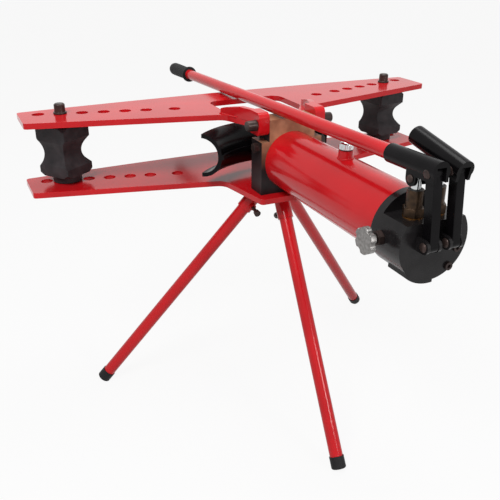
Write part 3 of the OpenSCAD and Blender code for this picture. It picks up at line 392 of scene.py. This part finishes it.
# the tree's end: real meshes, smooth, in the given finish
def endTree(tree, geometry, finish):
    solid = add(tree, "GeometryNodeRealizeInstances", {"Geometry": geometry})
    smooth = add(tree, "GeometryNodeSetShadeSmooth", {"Geometry": solid.outputs["Geometry"]})
    painted = add(tree, "GeometryNodeSetMaterial", {"Geometry": smooth.outputs["Geometry"],
                                                    "Material": finish})
    add(tree, "NodeGroupOutput", {"Geometry": painted.outputs["Geometry"]})


# a mesh run through a tree with these values, and settled on its body
def grown(name, mesh, tree, ids, values, body):
    piece = put(name, mesh)
    grower = piece.modifiers.new("grower", "NODES")
    grower.node_group = tree
    for label, value in values.items():
        grower[ids[label]] = value
    return settle(piece, body)


# weld seam: overlapping puddles strung along a path, each a little different; pitch as a share of the width
weld = {"width": 4.2, "pitch": 0.45, "least": (0.85, 0.85, 0.85), "most": (1.1, 1.15, 1.1)}
weldTree, weldIds, given = startTree("weldSeam", {
    "Pitch": "Float", "Width": "Float", "Height": "Float", "Seed": "Int", "Finish": "Material"})
path = add(weldTree, "GeometryNodeMeshToCurve", {"Mesh": given["Geometry"]})
even = add(weldTree, "GeometryNodeResampleCurve", {"Curve": path.outputs["Curve"], "Length": given["Pitch"]},
           mode="LENGTH")
drop = add(weldTree, "GeometryNodeMeshIcoSphere", {"Radius": 0.5, "Subdivisions": 2})
spread = add(weldTree, "FunctionNodeRandomValue", {"Min": weld["least"], "Max": weld["most"],
                                                   "Seed": given["Seed"]}, data_type="FLOAT_VECTOR")
size = add(weldTree, "ShaderNodeCombineXYZ", {"X": given["Width"], "Y": given["Height"], "Z": given["Width"]})
scale = add(weldTree, "ShaderNodeVectorMath", {0: size.outputs["Vector"], 1: spread.outputs["Value"]},
            operation="MULTIPLY")
tangent = add(weldTree, "GeometryNodeInputTangent")
turn = add(weldTree, "FunctionNodeAlignRotationToVector", {"Vector": tangent.outputs["Tangent"]}, axis="Z")
beads = add(weldTree, "GeometryNodeInstanceOnPoints", {
    "Points": even.outputs["Curve"], "Instance": drop.outputs["Mesh"], "Rotation": turn.outputs["Rotation"],
    "Scale": scale.outputs["Vector"]})
endTree(weldTree, beads.outputs["Instances"], given["Finish"])


def weldSeam(name, points, seed, width=weld["width"], closed=True):
    links = [(i, i + 1) for i in range(len(points) - 1)] + ([(len(points) - 1, 0)] if closed else [])
    mesh = bpy.data.meshes.new(name)
    mesh.from_pydata(points, links, [])
    values = {"Pitch": weld["pitch"] * width * mm, "Width": width * mm, "Height": width * mm, "Seed": seed,
              "Finish": redEnamel}
    grown(name, mesh, weldTree, weldIds, values, "frame")


def angles(count):
    return [2 * math.pi * k / count for k in range(count)]


# seams where the leg sockets and the tripod plate are welded on; legs as (azimuth, tilt)
tripod = {"hubY": 74.0, "ring": 34.0, "plateZ": -20.0, "plateR": 56.0, "socketR": 17.0, "socketBead": 0.6,
          "socketPoints": 72, "plateSeamZ": -12.4, "plateBead": 0.4, "platePoints": 120, "plateSeed": 7,
          "legs": {"left": (160.0, 38.4), "right": (27.6, 40.1), "rear": (265.5, 34.7)}}
for seed, (side, (azimuth, tilt)) in enumerate(tripod["legs"].items()):
    out = Vector((math.cos(math.radians(azimuth)), math.sin(math.radians(azimuth)), 0))
    across = Vector((-out.y, out.x, 0))
    middle = at(0, tripod["hubY"], tripod["plateZ"] - tripod["socketBead"]) + out * tripod["ring"] * mm
    radius = (tripod["socketR"] + tripod["socketBead"]) * mm
    rim = [middle + across * radius * math.cos(a) + out * radius / math.cos(math.radians(tilt)) * math.sin(a)
           for a in angles(tripod["socketPoints"])]
    weldSeam("socketSeam_" + side, rim, seed)
middle = at(0, tripod["hubY"], tripod["plateSeamZ"])
radius = tripod["plateR"] + tripod["plateBead"]
rim = [middle + Vector((math.cos(a), math.sin(a), 0)) * radius * mm for a in angles(tripod["platePoints"])]
weldSeam("tripodSeam", rim, tripod["plateSeed"])

# the filler boss on the tank: its seam follows the tank's round
filler = {"y": -198.0, "bossR": 13.5, "tankR": 61.6, "bossTop": 14.5, "sealT": 2.0,
          "seamOut": 0.5, "seamRise": 0.3, "seamWidth": 3.4, "seamPoints": 72, "seed": 11}
rim = []
for a in angles(filler["seamPoints"]):
    x = (filler["bossR"] + filler["seamOut"]) * math.cos(a)
    rim.append(at(x, filler["y"] + (filler["bossR"] + filler["seamOut"]) * math.sin(a),
                  bench["axisZ"] + math.sqrt(filler["tankR"] ** 2 - x * x) + filler["seamRise"]))
weldSeam("fillerSeam", rim, filler["seed"], filler["seamWidth"])

# stitch welds along the feet of the two ribs
ribFaces = (("outer", rib["outerSeam"], (0.0, 0.0)), ("inner", rib["innerSeam"], rib["inward"]))
for side, label in ((-1, "left"), (1, "right")):
    for face, (low, high), shift in ribFaces:
        points = []
        for k in range(rib["seamPoints"]):
            y = low + (high - low) * k / (rib["seamPoints"] - 1)
            part = (y - shift[1] - rib["root"][1]) / (rib["end"][1] - rib["root"][1])
            x = rib["root"][0] + part * (rib["end"][0] - rib["root"][0]) + shift[0]
            points.append(at(side * x, y, rib["seamZ"]))
        weldSeam(f"ribSeam_{label}_{face}", points, rib["seed"] + side, rib["seamWidth"], closed=False)
print("weld seams set")

# domed heads on the ends of the link, plunger and base pins
pinHeads = {"pumpX": 21.0, "ear": 13.35, "plungerShare": 0.88, "steps": 32,
            "dome": [(0, -0.5), (7.5, -0.5), (7.5, 0.9), (6.45, 2.1), (3.75, 2.9), (0, 3.2)]}
ends = ((-1, "in"), (1, "out"))
for side in ("left", "right"):
    for kind, share in (("link", 1.0), ("plunger", pinHeads["plungerShare"])):
        low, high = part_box(kind + "_pin_" + side)
        dome = [(r * share, h) for r, h in pinHeads["dome"]]
        for end, label in ends:
            middle = (low + high) / 2
            middle.x = high.x if end > 0 else low.x
            turnedPiece(f"{kind}PinHead_{side}_{label}", dome, middle, Vector((end, 0, 0)), darkSteel,
                        "lever_" + side, pinHeads["steps"])
low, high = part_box("link_base_pins")
for x, side in ((-pinHeads["pumpX"], "left"), (pinHeads["pumpX"], "right")):
    for end, label in ends:
        middle = Vector((x * mm + end * pinHeads["ear"] * mm, (low.y + high.y) / 2, (low.z + high.z) / 2))
        turnedPiece(f"basePinHead_{side}_{label}", pinHeads["dome"], middle, Vector((end, 0, 0)), darkSteel,
                    "frame", pinHeads["steps"])
print("pin heads set")

# rubber grip: collar, ribbed body that swells to its round end; set along the handle from the lever's pivot
grip = {"start": 996.0, "tubeR": 12.56, "slope": -1.9, "lift": 5.0, "pivot": (-21.0, -456.5, 183.0),
        "steps": 48,
        "collar": [(18.6, 0), (19.8, 1.2), (20, 3.2), (19.6, 5.4), (18.2, 6.8), (16.2, 8.4)],
        "ribs": 14, "ribSteps": 4, "ribStart": 10, "ribRun": 96, "bodyR": 15.3, "swell": 0.9, "ribDeep": 0.45,
        "end": [(16.5, 109), (16.4, 116), (15.4, 121), (13, 124.3), (9, 125.6), (0, 126)], "floor": 122}
tilt = math.radians(grip["slope"])
run = Vector((0, math.cos(tilt), math.sin(tilt)))
lift = Vector((0, -math.sin(tilt), math.cos(tilt)))
gripFoot = at(*grip["pivot"]) + (run * grip["start"] + lift * grip["lift"]) * mm
profile = [(grip["tubeR"], 0)] + grip["collar"]
for k in range(grip["ribs"] * grip["ribSteps"] + 1):
    u = k / (grip["ribs"] * grip["ribSteps"])
    wave = grip["ribDeep"] * math.cos(2 * math.pi * grip["ribs"] * u)
    profile.append((grip["bodyR"] + grip["swell"] * u - wave, grip["ribStart"] + grip["ribRun"] * u))
profile += grip["end"] + [(0, grip["floor"]), (grip["tubeR"], grip["floor"])]
gripPiece = turnedPiece("rubberGrip", profile, gripFoot, run, rubber, "handle", grip["steps"])
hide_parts("handle_grip")

# filler cap: fluted skirt under a low dome, with its stem
cap = {"r": 13.0, "rim": 12.4, "skirt": (0.6, 8.2), "stemR": 7.0, "stem": 15.5,
       "steps": 144, "flutes": 24, "deep": 0.9,
       "dome": [(12.5, 9.3), (11.4, 11.2), (9.2, 12.9), (5.4, 14.1), (0, 14.5)]}
capFoot = at(0, filler["y"], bench["axisZ"] + filler["tankR"] + filler["bossTop"] + filler["sealT"])
profile = [(0, -cap["stem"]), (cap["stemR"], -cap["stem"]), (cap["stemR"], 0), (cap["rim"], 0)]
profile += [(cap["r"], h, True) for h in cap["skirt"]] + cap["dome"]
capPiece = turnedPiece("fillerDome", profile, capFoot, up, chrome, "filler_cap",
                       cap["steps"], cap["flutes"], cap["deep"])
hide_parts("filler_cap")
print("grip and cap set")

# springs wound from round wire: a spiral swept with the wire, its place and turn in the tree
springTree, springIds, given = startTree("woundSpring", {
    "Turns": "Float", "Coil": "Float", "Length": "Float", "Wire": "Float", "Place": "Vector",
    "Lean": "Vector", "Finish": "Material"})
coil = add(springTree, "GeometryNodeCurveSpiral", {
    "Resolution": 32, "Rotations": given["Turns"], "Start Radius": given["Coil"],
    "End Radius": given["Coil"], "Height": given["Length"]})
wire = add(springTree, "GeometryNodeCurvePrimitiveCircle", {"Resolution": 12, "Radius": given["Wire"]})
swept = add(springTree, "GeometryNodeCurveToMesh", {
    "Curve": coil.outputs["Curve"], "Profile Curve": wire.outputs["Curve"], "Fill Caps": True})
placed = add(springTree, "GeometryNodeTransform", {
    "Geometry": swept.outputs["Mesh"], "Translation": given["Place"], "Rotation": given["Lean"]})
endTree(springTree, placed.outputs["Geometry"], given["Finish"])

# the return spring, wound at one length along the ram's axis towards the rod guide
returnSpring = {"turns": 16.0, "coil": 34.0, "wire": 5.0, "start": -331.65, "end": 7.65, "seat": 8.0,
                "keep": 0.41}
spring = grown("returnSpringWound", bpy.data.meshes.new("returnSpringWound"), springTree, springIds, {
    "Turns": returnSpring["turns"], "Coil": returnSpring["coil"] * mm,
    "Length": (returnSpring["end"] - returnSpring["start"] - returnSpring["wire"]) * mm,
    "Wire": returnSpring["wire"] / 2 * mm,
    "Place": at(0, returnSpring["start"] + returnSpring["wire"] / 2, bench["axisZ"]),
    "Lean": (-math.pi / 2, 0.0, 0.0), "Finish": brightSteel}, "frame")
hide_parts("return_spring")
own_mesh(spring)
print("return spring wound")


# 1 for the rays that show a surface as such: seen straight, in a reflection or through glass
def shownShare(tree):
    path = add(tree, "ShaderNodeLightPath").outputs
    seen = add(tree, "ShaderNodeMath", {0: path["Is Camera Ray"], 1: path["Is Glossy Ray"]},
               operation="MAXIMUM")
    seen = add(tree, "ShaderNodeMath", {0: seen.outputs["Value"], 1: path["Is Transmission Ray"]},
               operation="MAXIMUM")
    return seen.outputs["Value"]


# pale paper floor that keeps the shadow, in metres
studio = {"floorSize": 60.0, "floorTone": "#c8c8c8", "floorRough": 0.9, "floorWhite": 0.92, "worldFill": 0.2}
floorMesh = bpy.data.meshes.new("floor")
half = studio["floorSize"] / 2
corners = [(-half, -half, 0), (half, -half, 0), (half, half, 0), (-half, half, 0)]
floorMesh.from_pydata(corners, [], [(0, 1, 2, 3)])
floor = put("floor", floorMesh)
floorPaper = bpy.data.materials.new("floorPaper")
floorPaper.use_nodes = True
tree = floorPaper.node_tree
shader = tree.nodes["Principled BSDF"]
plug(tree, shader, {"Base Color": linear(studio["floorTone"]), "Roughness": studio["floorRough"]})
share = add(tree, "ShaderNodeMath", {0: shownShare(tree), 1: studio["floorWhite"]}, operation="MULTIPLY")
glow = add(tree, "ShaderNodeEmission", {"Color": (1, 1, 1, 1), "Strength": 1.0})
mixed = add(tree, "ShaderNodeMixShader", {0: share.outputs["Value"], 1: shader.outputs["BSDF"],
                                          2: glow.outputs["Emission"]})
plug(tree, tree.nodes["Material Output"], {"Surface": mixed.outputs["Shader"]})
floorMesh.materials.append(floorPaper)

# a white world to the eye, a low fill to the object
world = bpy.data.worlds.new("studio")
bpy.context.scene.world = world
world.use_nodes = True
tree = world.node_tree
fill = add(tree, "ShaderNodeBackground", {"Color": (1, 1, 1, 1), "Strength": studio["worldFill"]})
white = add(tree, "ShaderNodeBackground", {"Color": (1, 1, 1, 1), "Strength": 1.0})
mixed = add(tree, "ShaderNodeMixShader", {0: shownShare(tree), 1: fill.outputs["Background"],
                                          2: white.outputs["Background"]})
plug(tree, tree.nodes["World Output"], {"Surface": mixed.outputs["Shader"]})

# soft boxes, aimed at the middle of the object
lightAim = Vector((0, 0, 0.5))
softBoxes = [
    {"name": "keyBox", "place": (-1.9, -1.5, 3.0), "size": 1.3, "watts": 84},
    {"name": "sideBox", "place": (0.8, -2.8, 1.5), "size": 0.6, "watts": 24},
    {"name": "topBox", "place": (0.3, 0.3, 3.2), "size": 1.5, "watts": 42},
]
for box in softBoxes:
    lamp = bpy.data.lights.new(box["name"], "AREA")
    lamp.size = box["size"]
    lamp.energy = box["watts"]
    holder = put(box["name"], lamp)
    holder.location = box["place"]
    holder.rotation_euler = (lightAim - Vector(box["place"])).to_track_quat("-Z", "Y").to_euler()

# camera at the photograph's viewing angle
view = {"lensMm": 46.9, "sensorMm": 36.0, "reach": 50.0, "eye": (-0.64127, -1.23894, 0.99713),
        "turn": (64.5679, -0.2772, -25.3531)}
camera = bpy.data.cameras.new("camera")
camera.lens = view["lensMm"]
camera.sensor_width = view["sensorMm"]
camera.clip_end = view["reach"]
eye = put("camera", camera)
eye.location = view["eye"]
eye.rotation_euler = [math.radians(a) for a in view["turn"]]
bpy.context.scene.camera = eye
bpy.context.scene.view_settings.view_transform = "Standard"
print("camera and light set")
